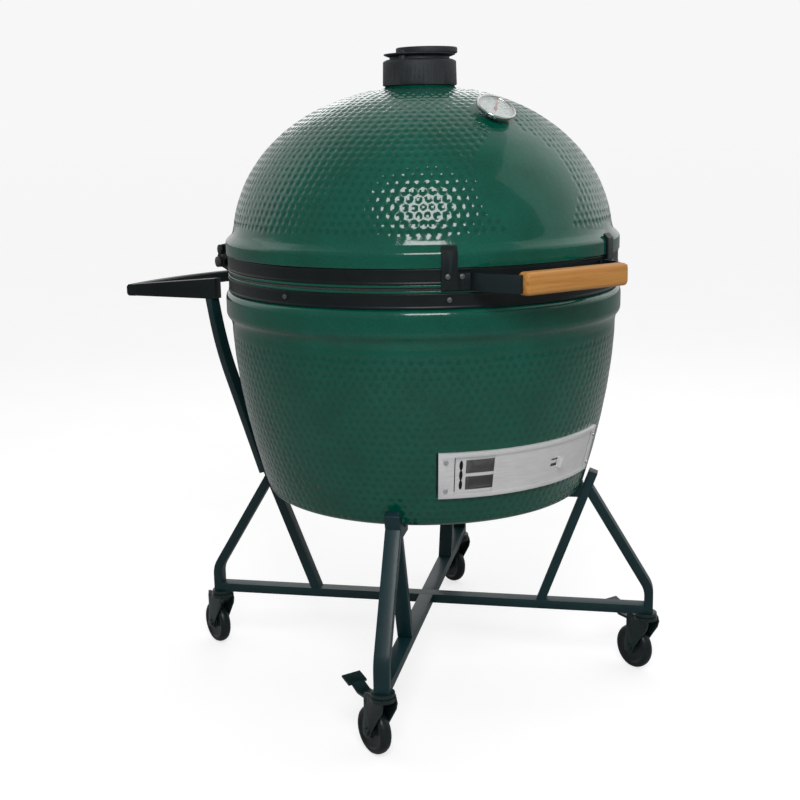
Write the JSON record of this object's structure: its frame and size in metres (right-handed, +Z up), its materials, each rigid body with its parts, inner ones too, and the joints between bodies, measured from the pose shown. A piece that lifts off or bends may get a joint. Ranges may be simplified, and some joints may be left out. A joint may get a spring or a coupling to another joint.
{
  "type": "kamado ceramic grill",
  "caption": "Egg-shaped glazed ceramic charcoal grill with a hinged dome, chimney cap and draft door, on a four-legged stand with swivel casters.",
  "frame": {"origin": "middle of the footprint at floor level, under the wheels", "axes": "+Z up; -Y towards the front, where the wooden handle and the draft door are; +X to the right of a person facing the front from behind the grill"},
  "size_m": [0.8756, 1.3039, 1.3992],
  "materials": {
    "green_glaze": "gloss",
    "fire_clay": "matte",
    "iron": "matte",
    "stainless": "satin",
    "felt": "matte",
    "black_steel": "satin",
    "spring_steel": "satin",
    "oak": "satin",
    "gauge_chrome": "gloss",
    "dial_face": "matte",
    "needle_paint": "matte",
    "gauge_glass": "gloss",
    "frame_paint": "satin",
    "pad_silicone": "matte",
    "caster_steel": "satin",
    "wheel_rubber": "satin"
  },
  "bodies": {
    "stand": {"base_shell": "green_glaze", "fire_box": "fire_clay", "fire_ring": "fire_clay", "fire_grate": "iron", "base_gasket": "felt", "base_band": "black_steel", "base_bolts": "black_steel", "hinge_base_bracket": "black_steel", "hinge_pin": "spring_steel", "hinge_springs": "spring_steel", "draft_frame": "stainless", "draft_screws": "stainless", "long_tube": "frame_paint", "short_tube_front": "frame_paint", "short_tube_back": "frame_paint", "leg_fl": "frame_paint", "leg_fr": "frame_paint", "leg_bl": "frame_paint", "leg_br": "frame_paint", "strut_fl": "frame_paint", "strut_fr": "frame_paint", "strut_bl": "frame_paint", "strut_br": "frame_paint", "saddles": "frame_paint", "saddle_pads": "pad_silicone", "riser_left": "frame_paint", "riser_right": "frame_paint", "push_bar": "black_steel", "caster_stems": "caster_steel"},
    "lid": {"dome_shell": "green_glaze", "dome_gasket": "felt", "dome_band": "black_steel", "lid_bolts": "black_steel", "hinge_lid_bracket": "black_steel", "hinge_rod": "black_steel", "handle_arm_left": "black_steel", "handle_arm_right": "black_steel", "wood_handle": "oak", "gauge_case": "gauge_chrome", "gauge_dial": "dial_face", "gauge_lens": "gauge_glass", "gauge_probe": "stainless", "vent_body": "iron", "vent_pivot": "iron"},
    "needle": {"gauge_needle": "needle_paint"},
    "vent_flap": {"vent_lid": "iron"},
    "vent_knob": {"vent_dial": "iron"},
    "ember_screen": {"draft_screen": "stainless"},
    "door_panel": {"draft_door": "stainless"},
    "grid": {"cooking_grid": "stainless"},
    "caster_fl": {"fork_fl": "caster_steel"},
    "wheel_fl": {"wheel_fl": "wheel_rubber"},
    "caster_fr": {"fork_fr": "caster_steel"},
    "wheel_fr": {"wheel_fr": "wheel_rubber"},
    "caster_bl": {"fork_bl": "caster_steel"},
    "wheel_bl": {"wheel_bl": "wheel_rubber"},
    "caster_br": {"fork_br": "caster_steel"},
    "wheel_br": {"wheel_br": "wheel_rubber"},
    "brake_fl": {"pedal_fl": "caster_steel"},
    "brake_fr": {"pedal_fr": "caster_steel"}
  },
  "joints": [
    {"name": "lid_hinge", "type": "hinge", "parent": "stand", "child": "lid", "pos_m": [0, 0.384, 0.918], "axis": [-1, 0, 0], "range_deg": [0, 75], "stiffness_Nm_per_rad": 105, "springref_deg": 75},
    {"name": "needle_turn", "type": "hinge", "parent": "lid", "child": "needle", "pos_m": [0, -0.398, 1.268], "axis": [0, -0.5736, 0.8191], "range_deg": [-172, 98]},
    {"name": "vent_flap_swing", "type": "hinge", "parent": "lid", "child": "vent_flap", "pos_m": [-0.06121, -0.15825, 1.382], "axis": [0, 0, 1], "range_deg": [0, 100]},
    {"name": "vent_knob_turn", "type": "hinge", "parent": "vent_flap", "child": "vent_knob", "pos_m": [0.01285, -0.13967, 1.392], "axis": [0, 0, 1], "range_deg": [-30, 30]},
    {"name": "draft_door_slide", "type": "hinge", "parent": "stand", "child": "door_panel", "pos_m": [0, -0.131, 0.552], "axis": [0, 0, 1], "range_deg": [-11.3, 0]},
    {"name": "ember_screen_slide", "type": "hinge", "parent": "stand", "child": "ember_screen", "pos_m": [0, -0.131, 0.552], "axis": [0, 0, 1], "range_deg": [0, 11.3]},
    {"name": "grid_lift", "type": "slide", "parent": "stand", "child": "grid", "axis": [0, 0, 1], "range_m": [0, 0.12]},
    {"name": "swivel_fl", "type": "hinge", "parent": "stand", "child": "caster_fl", "pos_m": [-0.35709, -0.48809, 0.127], "axis": [0, 0, 1], "continuous": true},
    {"name": "roll_fl", "type": "hinge", "parent": "caster_fl", "child": "wheel_fl", "pos_m": [-0.35709, -0.45309, 0.05], "axis": [1, 0, 0], "continuous": true},
    {"name": "swivel_fr", "type": "hinge", "parent": "stand", "child": "caster_fr", "pos_m": [0.35709, -0.48809, 0.127], "axis": [0, 0, 1], "continuous": true},
    {"name": "roll_fr", "type": "hinge", "parent": "caster_fr", "child": "wheel_fr", "pos_m": [0.35709, -0.45309, 0.05], "axis": [1, 0, 0], "continuous": true},
    {"name": "swivel_bl", "type": "hinge", "parent": "stand", "child": "caster_bl", "pos_m": [-0.35709, 0.22609, 0.127], "axis": [0, 0, 1], "continuous": true},
    {"name": "roll_bl", "type": "hinge", "parent": "caster_bl", "child": "wheel_bl", "pos_m": [-0.35709, 0.26109, 0.05], "axis": [1, 0, 0], "continuous": true},
    {"name": "swivel_br", "type": "hinge", "parent": "stand", "child": "caster_br", "pos_m": [0.35709, 0.22609, 0.127], "axis": [0, 0, 1], "continuous": true},
    {"name": "roll_br", "type": "hinge", "parent": "caster_br", "child": "wheel_br", "pos_m": [0.35709, 0.26109, 0.05], "axis": [1, 0, 0], "continuous": true},
    {"name": "brake_press_fl", "type": "hinge", "parent": "caster_fl", "child": "brake_fl", "pos_m": [-0.35709, -0.45409, 0.1211], "axis": [-1, 0, 0], "range_deg": [0, 10]},
    {"name": "brake_press_fr", "type": "hinge", "parent": "caster_fr", "child": "brake_fr", "pos_m": [0.35709, -0.45409, 0.1211], "axis": [-1, 0, 0], "range_deg": [0, 10]}
  ]
}
